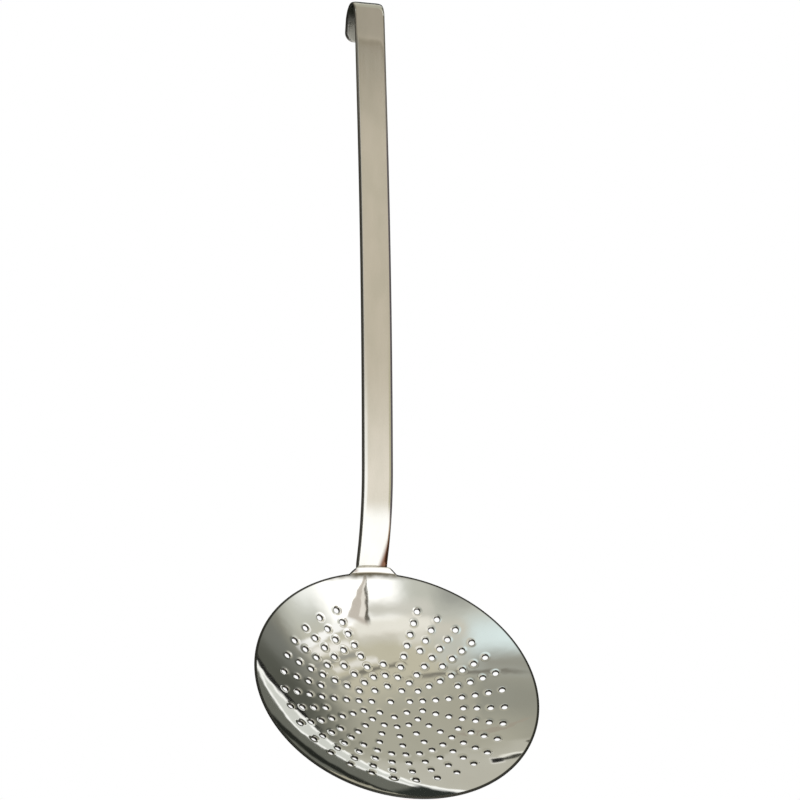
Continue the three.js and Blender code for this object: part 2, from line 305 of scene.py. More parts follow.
def joined(patches):
    """One mesh from patches of equal grids, each with a closed row: points that fall together are merged,
    and triangles that close up with them are left out."""
    points, normals, blanks, edges, triangles, start = [], [], [], [], [], 0
    for flat, depth, blank_normals, holes in patches:
        copies, shape = flat.shape[0], flat.shape[1:3]
        starts = start + np.arange(copies)[:, None, None] * shape[0] * shape[1]
        triangles.append((grid_triangles(shape) + starts).reshape(-1, 3))
        points.append(pressed(flat, depth, holes).reshape(-1, 3))
        normals.append(pressed_normals(flat, depth, holes, blank_normals).reshape(-1, 3))
        blanks.append(np.concatenate([flat, depth[..., None]], -1).reshape(-1, 3))
        edges.append(np.linalg.norm(blank_normals[..., :2], axis=-1).reshape(-1))
        start += copies * shape[0] * shape[1]
    points, normals, blanks, edges = (np.concatenate(part) for part in (points, normals, blanks, edges))
    _, kept, numbers = np.unique(np.round(points, 6), axis=0, return_index=True, return_inverse=True)
    triangles = numbers.reshape(-1)[np.concatenate(triangles)]
    a, b, c = triangles.T
    whole = (a != b) & (b != c) & (c != a)
    return points[kept], normals[kept], blanks[kept], edges[kept], triangles[whole]


def make_piece(name, points, triangles, normals, pattern, edge):
    """An object at the origin from points in millimetres, shaded with the given normals. Its attribute
    "pattern" keeps where each point lay in the flat or straight metal, for marks that follow the metal,
    and "edge" how far its surface turns from a face, 0, to a cut side, 1."""
    mesh = bpy.data.meshes.new(name)
    mesh.from_pydata(points * METRES, [], triangles)
    mesh.polygons.foreach_set("use_smooth", np.ones(len(triangles), dtype=bool))
    laid = mesh.attributes.new("pattern", "FLOAT_VECTOR", "POINT")
    laid.data.foreach_set("vector", (pattern * METRES).astype(np.float32).ravel())
    turned = mesh.attributes.new("edge", "FLOAT", "POINT")
    turned.data.foreach_set("value", edge.astype(np.float32))
    mesh.normals_split_custom_set_from_vertices(normals)
    piece = bpy.data.objects.new(name, mesh)
    bpy.context.scene.collection.objects.link(piece)
    return piece


dish_patches = [border()]
for ring in range(RING_COUNT + 1):
    loops, centres = cell_loops(ring)
    plain = covered_by_foot(centres[:, 0])
    dish_patches.append(holed_cells(loops[~plain], centres[~plain]))
    if plain.any():
        dish_patches.append(plain_cells(loops[plain], centres[plain]))
dish_points, dish_normals, dish_blank, dish_edge, dish_triangles = joined(dish_patches)
dish = make_piece("dish", dish_points, dish_triangles, dish_normals, dish_blank, dish_edge)


class Value:
    """A shader value whose arithmetic adds Math nodes to the tree that it belongs to."""

    def __init__(self, shader, socket):
        self.shader = shader
        self.socket = socket

    def maths(self, operation, first, second):
        """The result of one Math node."""
        return self.shader.node("ShaderNodeMath", {"operation": operation}, {0: first, 1: second})

    def __add__(self, other):
        return self.maths("ADD", self, other)

    __radd__ = __add__

    def __sub__(self, other):
        return self.maths("SUBTRACT", self, other)

    def __rsub__(self, other):
        return self.maths("SUBTRACT", other, self)

    def __mul__(self, other):
        return self.maths("MULTIPLY", self, other)

    __rmul__ = __mul__


class Shader:
    """The empty node tree of a material or world, filled by node()."""

    def __init__(self, owner):
        owner.use_nodes = True
        self.nodes = owner.node_tree.nodes
        self.links = owner.node_tree.links
        self.nodes.clear()

    def node(self, kind, settings=None, sockets=None, output=0):
        """Adds a node, sets it, feeds its sockets with numbers or values, and returns one output."""
        made = self.nodes.new(kind)
        for name, setting in (settings or {}).items():
            setattr(made, name, setting)
        for key, value in (sockets or {}).items():
            if isinstance(value, Value):
                self.links.new(value.socket, made.inputs[key])
            else:
                made.inputs[key].default_value = value
        return Value(self, made.outputs[output]) if made.outputs else made

    def noise(self, vector, scale, detail=3.0, roughness=0.5):
        """Smooth noise from 0 to 1 round one half."""
        sockets = {"Vector": vector, "Scale": scale, "Detail": detail, "Roughness": roughness}
        return self.node("ShaderNodeTexNoise", {}, sockets, "Fac")

    def step(self, value, low, high):
        """0 below low, 1 above high, smooth between."""
        sockets = {"Value": value, "From Min": low, "From Max": high}
        return self.node("ShaderNodeMapRange", {"interpolation_type": "SMOOTHSTEP"}, sockets)

    def mixed(self, share, colour, other):
        """One colour, and the other where share is 1."""
        sockets = {0: share, 6: colour, 7: other}
        return self.node("ShaderNodeMix", {"data_type": "RGBA"}, sockets, 2)

    def pattern(self, scale):
        """Where the point lay in the flat or straight metal, stretched by a scale for each direction."""
        laid = self.node("ShaderNodeAttribute", {"attribute_name": "pattern"}, {}, "Vector")
        return self.node("ShaderNodeMapping", {}, {"Vector": laid, "Scale": scale})

    def edge(self, low, high):
        """0 on the faces and 1 on the cut sides, stepped between two shares of the turn."""
        turned = self.node("ShaderNodeAttribute", {"attribute_name": "edge"}, {}, "Fac")
        return self.step(turned, low, high)

    def vector_maths(self, operation, first, second=(0, 0, 0), output="Value"):
        """The result of one Vector Math node."""
        return self.node("ShaderNodeVectorMath", {"operation": operation}, {0: first, 1: second}, output)

    def part(self, vector, axis):
        """The part of a vector along X, Y or Z."""
        return self.node("ShaderNodeSeparateXYZ", {}, {"Vector": vector}, axis)

    def surface(self, look):
        """Makes a look the surface of the material."""
        self.node("ShaderNodeOutputMaterial", {}, {"Surface": look})

    def metal(self, colour, roughness, height):
        """Bare metal as the surface, with a relief whose height is in metres."""
        relief = self.node("ShaderNodeBump", {}, {"Strength": 1.0, "Distance": 1.0, "Height": height})
        sockets = {"Base Color": colour, "Metallic": 1.0, "Roughness": roughness, "Normal": relief}
        self.surface(self.node("ShaderNodeBsdfPrincipled", {}, sockets))

    def glow(self, colour):
        """Light of a colour at full strength."""
        return self.node("ShaderNodeEmission", {}, {"Color": colour, "Strength": 1.0})


# Pairs say where a finish fades in: distances over the blank in metres, or shares of an edge's turn.
DISH_STEEL = (0.86, 0.855, 0.84, 1)
DISH_HAZE = (0.83, 0.82, 0.80, 1)
# Painted shade: near black for the cut walls of the holes.
HOLE_WALL_PAINTED_SHADE = (0.12, 0.11, 0.095, 1)
# Painted shade: near black for the rim's cut edge.
RIM_PAINTED_SHADE = (0.07, 0.07, 0.064, 1)
HAZE_FADE = (0.35, 0.7)
RIM_BAND = (0.0689, 0.0693)
LIP_SIDE = (0.0115, 0.0125)
HANDLE_HALF = (0.0, 0.01)
LIP_TOP = (0.0718, 0.0724)
LIP_CUT = (0.02, 0.3)
HOLE_CUT = (0.2, 0.7)
WAVE_HEIGHT = 0.00003
RIPPLE_HEIGHT = 0.000028
BUFFING_HEIGHT = 0.0000002
MIRROR_ROUGHNESS = 0.015
HAZE_ROUGHNESS = 0.03
BUFFING_ROUGHNESS = 0.02
CUT_ROUGHNESS = 0.2
CLOUD_SCALE = 45
BUFFING_SCALE = 2500
WAVE_SCALE = 60
RIPPLE_SCALE = 150


def polished_steel():
    """Buffed sheet: faint haze in clouds, fine marks of the buffing mop in rings, and a slight waviness.
    The mop doesn't reach the cut edges of the holes and the rim, which stay dull; their near-black colour
    is painted shade."""
    material = bpy.data.materials.new("polished_steel")
    shader = Shader(material)
    blank = shader.pattern((1, 1, 0))
    across = shader.part(blank, "X")
    along = shader.part(blank, "Y")
    radius = shader.vector_maths("LENGTH", blank)
    clouds = shader.noise(blank, CLOUD_SCALE, 4)
    swept = shader.node("ShaderNodeCombineXYZ", {}, {0: radius, 1: clouds * 0.002})
    rings = shader.noise(swept, BUFFING_SCALE, 2)
    at_rim = shader.step(radius, *RIM_BAND)
    aside = across.maths("ABSOLUTE", across, 0)
    on_lip = (1 - shader.step(aside, *LIP_SIDE)) * shader.step(along, *HANDLE_HALF)
    below_top = 1 - shader.step(radius, *LIP_TOP)
    # The rim's cut edge, and the lip's cut edge below its top, are rougher and painted near black: painted
    # shade.
    rim_dull_and_shade = at_rim * (1 - on_lip) + at_rim * on_lip * shader.edge(*LIP_CUT) * below_top
    # Painted shade on the cut walls of the holes: their colour is made near black, and they are also
    # rougher.
    cut = shader.edge(*HOLE_CUT) * (1 - at_rim)
    colour = shader.mixed(shader.step(clouds, *HAZE_FADE), DISH_STEEL, DISH_HAZE)
    colour = shader.mixed(cut, colour, HOLE_WALL_PAINTED_SHADE)
    colour = shader.mixed(rim_dull_and_shade, colour, RIM_PAINTED_SHADE)
    waves = shader.noise(blank, WAVE_SCALE, 1)
    ripples = shader.noise(blank, RIPPLE_SCALE, 1)
    height = waves * WAVE_HEIGHT + ripples * RIPPLE_HEIGHT + rings * BUFFING_HEIGHT
    roughness = clouds * HAZE_ROUGHNESS + rings * BUFFING_ROUGHNESS
    roughness = roughness + cut * CUT_ROUGHNESS + rim_dull_and_shade * CUT_ROUGHNESS + MIRROR_ROUGHNESS
    shader.metal(colour, roughness, height)
    return material


dish.data.materials.append(polished_steel())
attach(dish, "root")
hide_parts("bowl")


# The handle is one length of flat bar with rounded edges and corners, bent in one plane: a foot that lies
# along the back of the dish, a heel at the rim, a shoulder, a gently bowed grip, and a hook turned to the
# back. It is ground along its length to a satin finish, and its foot is spot-welded, which leaves dents.
HEEL_RADIUS = 8.0
BAR_EDGE = 0.8
BAR_ROUND = 3.0
BAR_CORNER = 5.0
SHOULDER_RADIUS = 105.0
SHOULDER_TURN = math.radians(25)
BOW_LENGTH = 183.0
BOW_TURN = math.radians(5)
GRIP_LENGTH = 58.0
HOOK_RADIUS = 7.5
HOOK_TURN = math.radians(162)
HOOK_LEG = 10.5
WELD_COUNT = 3
WELD_FROM_RIM = 9.0
WELD_FROM_END = 10.0
DENT_RADIUS = 2.8
DENT_DEPTH = 0.12
DENT_FLAT = 0.55

BEND_STEP = math.radians(1.5)
FOOT_STEP = 0.7
LONG_STEP = 6.0
EDGE_STEPS = 8
END_STEPS = 8
FRONT_COLUMNS = 12
BACK_COLUMNS = 22

heel_length = (HEEL_RADIUS + foot_radius - sphere_radius) * HEEL_TURN
hook_length = (HOOK_RADIUS + BAR_THICKNESS / 2) * HOOK_TURN
bend_lengths = np.array([
    FOOT_LENGTH, heel_length, SHOULDER_RADIUS * SHOULDER_TURN, BOW_LENGTH, GRIP_LENGTH, hook_length,
    HOOK_LEG,
])
bend_turns = np.array([foot_turn, HEEL_TURN, -SHOULDER_TURN, -BOW_TURN, 0, -HOOK_TURN, 0])
bend_starts = np.concatenate([[0], np.cumsum(bend_lengths)])
bar_length = bend_starts[-1]
bend_headings = rim_turn - foot_turn - DISH_TILT + np.concatenate([[0], np.cumsum(bend_turns)])
bend_chords = bend_lengths * np.sinc(bend_turns / 2 / np.pi)
chord_headings = bend_headings[:-1] + bend_turns / 2
bend_forward = np.cumsum(np.concatenate([
    [-foot_radius * math.cos(bend_headings[0])], bend_chords * np.sin(chord_headings),
]))
bend_up = np.cumsum(np.concatenate([
    [foot_radius * math.sin(bend_headings[0])], bend_chords * np.cos(chord_headings),
]))


def spine(distance):
    """The middle line of the bar at distances from the foot's end: forward and up from the centre of the
    dish's sphere, and its heading from upright. In each bend the heading turns evenly, so the line has run
    along a chord of distance * sin(half turn) / half turn in the direction of half the turn."""
    bend = np.clip(np.searchsorted(bend_starts, distance, side="right") - 1, 0, bend_turns.size - 1)
    run = distance - bend_starts[bend]
    half = bend_turns[bend] * run / bend_lengths[bend] / 2
    chord = run * np.sinc(half / np.pi)
    heading = bend_headings[bend] + half
    forward = bend_forward[bend] + chord * np.sin(heading)
    up = bend_up[bend] + chord * np.cos(heading)
    return forward, up, heading + half


def corner(from_end, radius):
    """How far an outline draws in near its end: a quarter circle of the given radius."""
    near = np.minimum(from_end, radius)
    return radius - np.sqrt(radius**2 - (radius - near) ** 2)


def bar_sections():
    """Points round the bar's section: a rectangle whose edges are quarter ellipses, back face first.

    side and face are -1 to 1 towards the right and the front, and turn is the direction of the edge's
    normal from the right towards the front. Its steps crowd where the ellipse is tightest."""
    even = np.radians(np.linspace(0, 90, EDGE_STEPS + 1))
    by_length = np.arctan2(BAR_EDGE * np.sin(even), BAR_ROUND * np.cos(even))
    tip_first = np.unique(np.round(np.concatenate([even, by_length]), 6))
    quarter_turn = math.pi / 2
    tip_last = quarter_turn - tip_first[::-1]
    one = np.ones_like(tip_first)
    front = np.linspace(1, -1, FRONT_COLUMNS + 1)[1:-1]
    back = np.linspace(-1, 1, BACK_COLUMNS + 1)[1:-1]
    side = np.concatenate([back, one, one, front, -one, -one])
    face = np.concatenate([-np.ones_like(back), -one, one, np.ones_like(front), one, -one])
    turn = np.concatenate([
        np.full_like(back, 3 * quarter_turn), 3 * quarter_turn + tip_last, tip_first,
        np.full_like(front, quarter_turn), quarter_turn + tip_last, 2 * quarter_turn + tip_first,
    ])
    return side, face, turn


def bar_steps():
    """Distances to put sections at: close together in the bends, the foot and the rounded ends."""
    even = [
        start + length * np.linspace(0, 1, math.ceil(max(abs(turn) / BEND_STEP, length / LONG_STEP)) + 1)
        for start, length, turn in zip(bend_starts, bend_lengths, bend_turns)
    ]
    foot = np.linspace(0, FOOT_LENGTH, math.ceil(FOOT_LENGTH / FOOT_STEP) + 1)
    rounding = 1 - np.cos(np.radians(np.linspace(0, 90, END_STEPS + 1)))
    ends = np.concatenate([BAR_CORNER * rounding, BAR_EDGE * rounding])
    return np.unique(np.round(np.concatenate([*even, foot, ends, bar_length - ends]), 6))


weld_pitch = (FOOT_LENGTH - WELD_FROM_RIM - WELD_FROM_END) / (WELD_COUNT - 1)
weld_distances = FOOT_LENGTH - WELD_FROM_RIM - weld_pitch * np.arange(WELD_COUNT)
distance = bar_steps()[:, None]
side, face, turn = bar_sections()
from_end = np.minimum(distance, bar_length - distance)
half_width = BAR_WIDTH / 2 - corner(from_end, BAR_CORNER)
half_thickness = BAR_THICKNESS / 2 - corner(from_end, BAR_EDGE)
edge_depth = np.minimum(BAR_EDGE, half_thickness)
across = side * (half_width - BAR_ROUND) + BAR_ROUND * np.cos(turn)
front = face * (half_thickness - edge_depth) + edge_depth * np.sin(turn)
to_weld = np.sqrt(across**2 + np.min(np.abs(distance[..., None] - weld_distances), -1) ** 2)
dented = 1 - smoothstep((to_weld / DENT_RADIUS - DENT_FLAT) / (1 - DENT_FLAT))
front = front + (face < 0) * DENT_DEPTH * dented
forward, up, heading = spine(distance)
bar_points = np.stack([
    across,
    dish_centre[1] - forward - front * np.cos(heading),
    dish_centre[2] + up - front * np.sin(heading),
], -1)
bar_straight = np.stack(np.broadcast_arrays(across, front, distance), -1)
around_bar = np.roll(bar_points, -1, 1) - np.roll(bar_points, 1, 1)
bar_normals = np.cross(around_bar, np.gradient(bar_points, axis=0))
bar_normals = bar_normals / np.linalg.norm(bar_normals, axis=-1, keepdims=True)
sections, columns = bar_points.shape[:2]
fan = np.stack([np.zeros(columns - 2, int), np.arange(1, columns - 1), np.arange(2, columns)], -1)
wrapped = grid_triangles((columns, sections))
bar_triangles = np.concatenate([
    wrapped // sections + wrapped % sections * columns,
    fan[:, ::-1],
    fan + (sections - 1) * columns,
])
bar_edge = np.broadcast_to(np.abs(np.cos(turn)), across.shape).reshape(-1)
handle = make_piece(
    "bar",
    bar_points.reshape(-1, 3),
    bar_triangles,
    bar_normals.reshape(-1, 3),
    bar_straight.reshape(-1, 3),
    bar_edge,
)


# Pairs say where a finish fades in: distances in the straight bar in metres, or shares of an edge's turn.
BAR_STEEL = (0.87, 0.855, 0.825, 1)
BAR_HAZE = (0.80, 0.795, 0.755, 1)
SHEARED_STEEL = (0.45, 0.41, 0.37, 1)
# Painted shade: near black for the inside of the hook.
HOOK_PAINTED_SHADE = (0.025, 0.026, 0.02, 1)
HEEL_TINT = (0.21, 0.11, 0.07, 1)
BAR_HAZE_FADE = (0.3, 0.75)
SHEARED_SIDE = (0.6, 1.0)
HOOK_SHADE_FACE = (-0.0003, 0.0008)
HOOK_SHADE_FADE = 0.006
HOOK_SHADE_RUN_OUT = 0.008
HOOK_SHADE_LEFT_ON_LEG = 0.25
TINT_FACE = (0.0003, 0.0008)
TINT_FROM = (0.044, 0.047)
TINT_SIDE = (-0.0096, -0.0066)
TINT_SLOPE = 0.234
LINE_HEIGHT = 0.0000008
STREAK_HEIGHT = 0.000002
LINE_SCALE = 5000
STREAK_SCALE = 700
BAR_CLOUD_SCALE = 110
SATIN_ROUGHNESS = 0.05
LINE_ROUGHNESS = 0.05
CLOUD_ROUGHNESS = 0.04
HOOK_SHADE_ROUGHNESS = 0.25
hook_to = (bar_length - HOOK_LEG) * METRES
hook_from = hook_to - hook_length * METRES
hook_shade_from = (hook_from, hook_from + HOOK_SHADE_FADE)
hook_shade_to = (hook_to - HOOK_SHADE_FADE, hook_to + HOOK_SHADE_RUN_OUT)


def satin_steel():
    """Ground bar: fine grinding lines along its length, in streaks, with a slight haze in clouds. The
    inside of the hook is painted near black and rougher, painted shade, the sheared sides are duller, and
    the right side of the neck is tinted brown beyond a slanting line."""
    material = bpy.data.materials.new("satin_steel")
    shader = Shader(material)
    lines = shader.noise(shader.pattern((1, 1, 0.015)), LINE_SCALE, 2, 0.6)
    streaks = shader.noise(shader.pattern((1, 1, 0.03)), STREAK_SCALE, 3)
    clouds = shader.noise(shader.pattern((1, 1, 0.4)), BAR_CLOUD_SCALE, 3)
    place = shader.pattern((1, 1, 1))
    across = shader.part(place, "X")
    faced = shader.part(place, "Y")
    along = shader.part(place, "Z")
    # Painted shade: the back face of the bar round the hook, and a quarter as much along the leg, is
    # painted near black and made rougher.
    scale = (1 - shader.step(faced, *HOOK_SHADE_FACE)) * shader.step(along, *hook_shade_from)
    scale = scale * (1 - shader.step(along, *hook_shade_to) * (1 - HOOK_SHADE_LEFT_ON_LEG))
    # A brown tint on the front face of the neck, over a wedge at its right side beyond a slanting line.
    tint = shader.step(across - along * TINT_SLOPE, *TINT_SIDE) * shader.step(faced, *TINT_FACE)
    tint = tint * shader.step(along, *TINT_FROM)
    colour = shader.mixed(shader.step(clouds, *BAR_HAZE_FADE), BAR_STEEL, BAR_HAZE)
    colour = shader.mixed(shader.edge(*SHEARED_SIDE), colour, SHEARED_STEEL)
    colour = shader.mixed(scale, colour, HOOK_PAINTED_SHADE)
    colour = shader.mixed(tint, colour, HEEL_TINT)
    height = lines * LINE_HEIGHT + streaks * STREAK_HEIGHT
    roughness = lines * LINE_ROUGHNESS + streaks * LINE_ROUGHNESS + clouds * CLOUD_ROUGHNESS
    roughness = roughness + scale * HOOK_SHADE_ROUGHNESS + SATIN_ROUGHNESS
    shader.metal(colour, roughness, height)
    return material


handle.data.materials.append(satin_steel())
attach(handle, "root")
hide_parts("handle")


# The spot welds are small round nuggets where the foot and the back of the dish were melted together.
# They lie in the seam between the two, dull and tinted by the heat.
WELD_STRAW = (0.42, 0.34, 0.22, 1)
WELD_GREY = (0.30, 0.30, 0.31, 1)
WELD_FADE = (0.35, 0.65)
PIT_HEIGHT = 0.00002
PATCH_SCALE = 900
PIT_SCALE = 4000
WELD_ROUGHNESS = 0.3


def weld_steel():
    """Melted steel: straw to grey tint in fine patches, and a rough, pitted surface."""
    material = bpy.data.materials.new("weld_steel")
    shader = Shader(material)
    place = shader.node("ShaderNodeTexCoord", {}, {}, "Object")
    patches = shader.noise(place, PATCH_SCALE, 4)
    pits = shader.noise(place, PIT_SCALE, 2)
    colour = shader.mixed(shader.step(patches, *WELD_FADE), WELD_STRAW, WELD_GREY)
    shader.metal(colour, patches * WELD_ROUGHNESS + WELD_ROUGHNESS, pits * PIT_HEIGHT)
    return material


weld_finish = weld_steel()
for index in range(WELD_COUNT):
    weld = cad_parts[f"spot_weld_{index + 1}"]
    weld.data.materials.clear()
    weld.data.materials.append(weld_finish)


# The stage is a plain pale floor below the hanging skimmer, and a light tent round both: cloth walls that
# glow evenly, with brighter and darker panels for the steel to mirror, and a small flag in front of the
# hook. The camera looks through the cloth at plain white, and one lamp gives the shadow on the floor.
FLOOR_HEIGHT = -0.62
FLOOR_RADIUS = 0.55
FLOOR_CENTRE = (-0.05, 0.32, FLOOR_HEIGHT)
FLOOR_COLOUR = (0.9, 0.9, 0.9, 1)
FLOOR_FADE = (0.3, 0.52)
FLOOR_TURNS = 96
FLOOR_RINGS = 24
TENT_RADIUS = 60.0
TENT_CENTRE = (0, 0, -0.25)
TENT_TURNS = 64
TENT_RISES = 33
WHITE = (1, 1, 1, 1)


def disc(radius, centre):
    """A level disc as a grid of rings, radius share by turn."""
    turn = np.linspace(0, 2 * np.pi, FLOOR_TURNS, endpoint=False)[:, None]
    out = radius * np.linspace(0, 1, FLOOR_RINGS)
    points = np.stack(np.broadcast_arrays(out * np.sin(turn), out * np.cos(turn), 0), -1) + centre
    return points.reshape(-1, 3), grid_triangles(points.shape[:2])


def dome(radius, centre):
    """A sphere as a grid of turn by elevation."""
    turn = np.linspace(0, 2 * np.pi, TENT_TURNS, endpoint=False)[:, None]
    rise = np.linspace(-np.pi / 2, np.pi / 2, TENT_RISES)
    out = np.cos(rise)
    points = np.stack(np.broadcast_arrays(out * np.sin(turn), out * np.cos(turn), np.sin(rise)), -1)
    return (radius * points + centre).reshape(-1, 3), grid_triangles(points.shape[:2])


def make_stage(name, points, triangles):
    """A part of the stage, smooth, from points in metres."""
    mesh = bpy.data.meshes.new(name)
    mesh.from_pydata(points, [], triangles)
    mesh.validate()
    mesh.polygons.foreach_set("use_smooth", np.ones(len(mesh.polygons), dtype=bool))
    made = bpy.data.objects.new(name, mesh)
    bpy.context.scene.collection.objects.link(made)
    return made


floor = make_stage("floor", *disc(FLOOR_RADIUS, FLOOR_CENTRE))


def floor_finish():
    """Matt pale paper near the skimmer, where its shadow falls, that runs out into plain white. From below
    it isn't there."""
    material = bpy.data.materials.new("floor")
    shader = Shader(material)
    place = shader.node("ShaderNodeTexCoord", {}, {}, "Object")
    out = shader.vector_maths("DISTANCE", place, FLOOR_CENTRE)
    paper = shader.node("ShaderNodeBsdfDiffuse", {}, {"Color": FLOOR_COLOUR})
    faded = shader.step(out, *FLOOR_FADE)
    seen = shader.node("ShaderNodeMixShader", {}, {0: faded, 1: paper, 2: shader.glow(WHITE)})
    below = shader.node("ShaderNodeNewGeometry", {}, {}, "Backfacing")
    clear = shader.node("ShaderNodeBsdfTransparent")
    shader.surface(shader.node("ShaderNodeMixShader", {}, {0: below, 1: seen, 2: clear}))
    return material


floor.data.materials.append(floor_finish())

tent = make_stage("tent", *dome(TENT_RADIUS, TENT_CENTRE))
tent.visible_camera = False
tent.visible_shadow = False

CEILING = (0.45, 0.44, 0.355, 1)
STRIP_SHADOW = (0.02, 0.02, 0.018, 1)
STRIP_EDGE = (1.15, 1.16, 1.12, 1)
STRIP_MIDDLE = (0.70, 0.72, 0.67, 1)
DARK_FIELD = (0.15, 0.155, 0.13, 1)
LINE_SOFT = 0.4
STRIP_FROM = (-46, -44)
STRIP_TO = (58, 62)
SHADOW_FROM = (7, 10)


def tent_cloth():
    """Glowing cloth, painted panel by panel, each with its own soft edges. A panel lies between two turns
    to the left and two rises, in degrees, as seen from the tent's middle by someone who looks ahead."""
    material = bpy.data.materials.new("tent")
    shader = Shader(material)
    place = shader.node("ShaderNodeTexCoord", {}, {}, "Object")
    from_centre = shader.vector_maths("SUBTRACT", place, TENT_CENTRE, "Vector")
    direction = shader.vector_maths("NORMALIZE", from_centre, output="Vector")

    def bearings(ahead, up):
        """Turn and rise of the cloth for one who looks ahead: the arc tangent of its part to the left over
        its part ahead, and the arc sine of its part upwards."""
        left = Vector(up).cross(Vector(ahead))
        axes = (left, ahead, up)
        aside, forward, upward = (shader.vector_maths("DOT_PRODUCT", direction, axis) for axis in axes)
        turn = aside.maths("ARCTAN2", aside, forward) * math.degrees(1)
        return turn, upward.maths("ARCSINE", upward, 0) * math.degrees(1)

    def panel(cloth, colour, view, turns, rises, soft, soft_aside=None):
        """The cloth with a panel painted over it. Each edge fades over soft degrees to both sides, and the
        edges at its two turns over soft_aside where that is given."""
        turn, rise = view
        aside = soft_aside or soft
        inside = shader.step(turn, turns[0] - aside, turns[0] + aside)
        inside = inside * (1 - shader.step(turn, turns[1] - aside, turns[1] + aside))
        inside = inside * shader.step(rise, rises[0] - soft, rises[0] + soft)
        inside = inside * (1 - shader.step(rise, rises[1] - soft, rises[1] + soft))
        return shader.mixed(inside, cloth, (*colour, 1))

    # Two level views along the room, and one along each feature that slants: the edges of the strip and of
    # the field with their bent ends, the streak, the bar of the window and the shine of the lamp.
    front = bearings((0, -1, 0), (0, 0, 1))
    back = bearings((0, 1, 0), (0, 0, 1))
    strip = bearings((0.455, 0.244, 0.856), (0.482, 0.741, -0.468))
    strip_end = bearings((0.684, 0.044, 0.728), (0.321, 0.878, -0.354))
    field = bearings((0.478, 0.32, 0.818), (0.299, 0.817, -0.493))
    field_end = bearings((0.669, 0.149, 0.728), (0.517, 0.611, -0.6))
    streak = bearings((-0.003, 0.183, 0.983), (-0.204, -0.962, 0.179))
    mullion = bearings((0.089, 0.438, 0.895), (0.318, -0.864, 0.391))
    shine = bearings((0.546, -0.508, 0.666), (-0.634, 0.269, 0.725))

    # The ceiling, pale at the back and dim on the right, and the dark right wall.
    cloth = panel(CEILING, (0.55, 0.54, 0.46), back, (-60, 60), (57, 84.5), 6)
    cloth = panel(cloth, (0.33, 0.33, 0.275), front, (-120, -15), (61, 79), 8)
    cloth = panel(cloth, (0.16, 0.15, 0.12), front, (-200, -48), (-60, 57), 8)
    # The window in the front wall: warm on the left, bright on the right, with a dim top and post.
    cloth = panel(cloth, (0.60, 0.61, 0.54), front, (-56, 62), (22.5, 58), 3)
    cloth = panel(cloth, (0.60, 0.57, 0.44), front, (2, 60), (41.5, 63), 6)
    cloth = panel(cloth, (0.80, 0.92, 0.91), front, (-52, -14), (40.5, 58), 6)
    cloth = panel(cloth, (0.35, 0.35, 0.30), front, (-64, -14), (52.6, 62), 4.5, 10)
    cloth = panel(cloth, (0.68, 0.66, 0.57), front, (-14, 34), (41, 46.6), 2.5)
    cloth = panel(cloth, (0.78, 0.76, 0.67), front, (3, 16), (41, 48.5), 2.5)
    cloth = panel(cloth, (0.38, 0.39, 0.35), front, (-18, -4), (22, 36), 5)
    # Its two dark frame lines, and the slats of a blind at its left end.
    cloth = panel(cloth, (0.22, 0.21, 0.175), front, (-42, 20), (59.8, 61.2), 0.7, 14)
    cloth = panel(cloth, (0.20, 0.19, 0.155), front, (18, 45), (54.4, 55.6), 0.6)
    cloth = panel(cloth, (1.0, 0.98, 0.92), front, (38, 58), (44.4, 47.2), 1.2)
    cloth = panel(cloth, (0.36, 0.355, 0.31), front, (36, 62), (48.4, 50.0), 0.8)
    cloth = panel(cloth, (0.88, 0.86, 0.79), front, (30, 56), (51.2, 53.0), 0.8)
    cloth = panel(cloth, (0.34, 0.335, 0.29), front, (44, 66), (54.6, 56.0), 0.8)
    # The lamp in the window with its halo and shade, and its narrow shine.
    cloth = panel(cloth, (0.85, 0.81, 0.70), front, (5, 36), (38, 43), 3.5)
    cloth = panel(cloth, (1.1, 1.12, 1.08), front, (9, 52), (18, 32), 6)
    cloth = panel(cloth, (1.4, 1.4, 1.36), front, (11, 41), (20, 40.3), 0.8, 5)
    cloth = panel(cloth, (0.70, 0.69, 0.62), front, (-1, 24.5), (33.0, 38.6), 2.8)
    cloth = panel(cloth, (0.92, 0.90, 0.81), front, (0, 32), (38.8, 43.6), 1.4)
    cloth = panel(cloth, (1.1, 1.1, 1.07), shine, (-13, 12), (-1.2, 1.2), 0.4)
    # The slanting bar of the window: pale, with a bright middle and a dark edge.
    cloth = panel(cloth, (0.62, 0.57, 0.50), mullion, (-21, 0), (72, 89.5), 0.8)
    cloth = panel(cloth, (0.9, 0.86, 0.78), mullion, (-10, -3), (74, 88), 0.8)
    cloth = panel(cloth, (0.13, 0.12, 0.095), mullion, (-2.5, 2.5), (73, 88), 1.0)
    # The wall below the window under its dark sill, palest towards the floor.
    cloth = panel(cloth, (0.59, 0.535, 0.43), front, (-16, 58), (-70, 23.3), 0.5)
    cloth = panel(cloth, (0.15, 0.13, 0.085), front, (-16, 58), (21.6, 25.0), 1.2)
    cloth = panel(cloth, (0.84, 0.79, 0.69), front, (-8, 52), (-70, 5), 2.5)
    cloth = panel(cloth, (0.50, 0.48, 0.33), front, (26, 60), (-18, 8), 2)
    cloth = panel(cloth, (0.74, 0.72, 0.66), front, (-16, -7), (5, 23), 1.5)
    cloth = panel(cloth, (1.1, 1.1, 1.07), front, (-32, 11), (-80, 5), 3)
    cloth = panel(cloth, (1.25, 1.25, 1.23), front, (-34, 44), (-80, -19), 6)
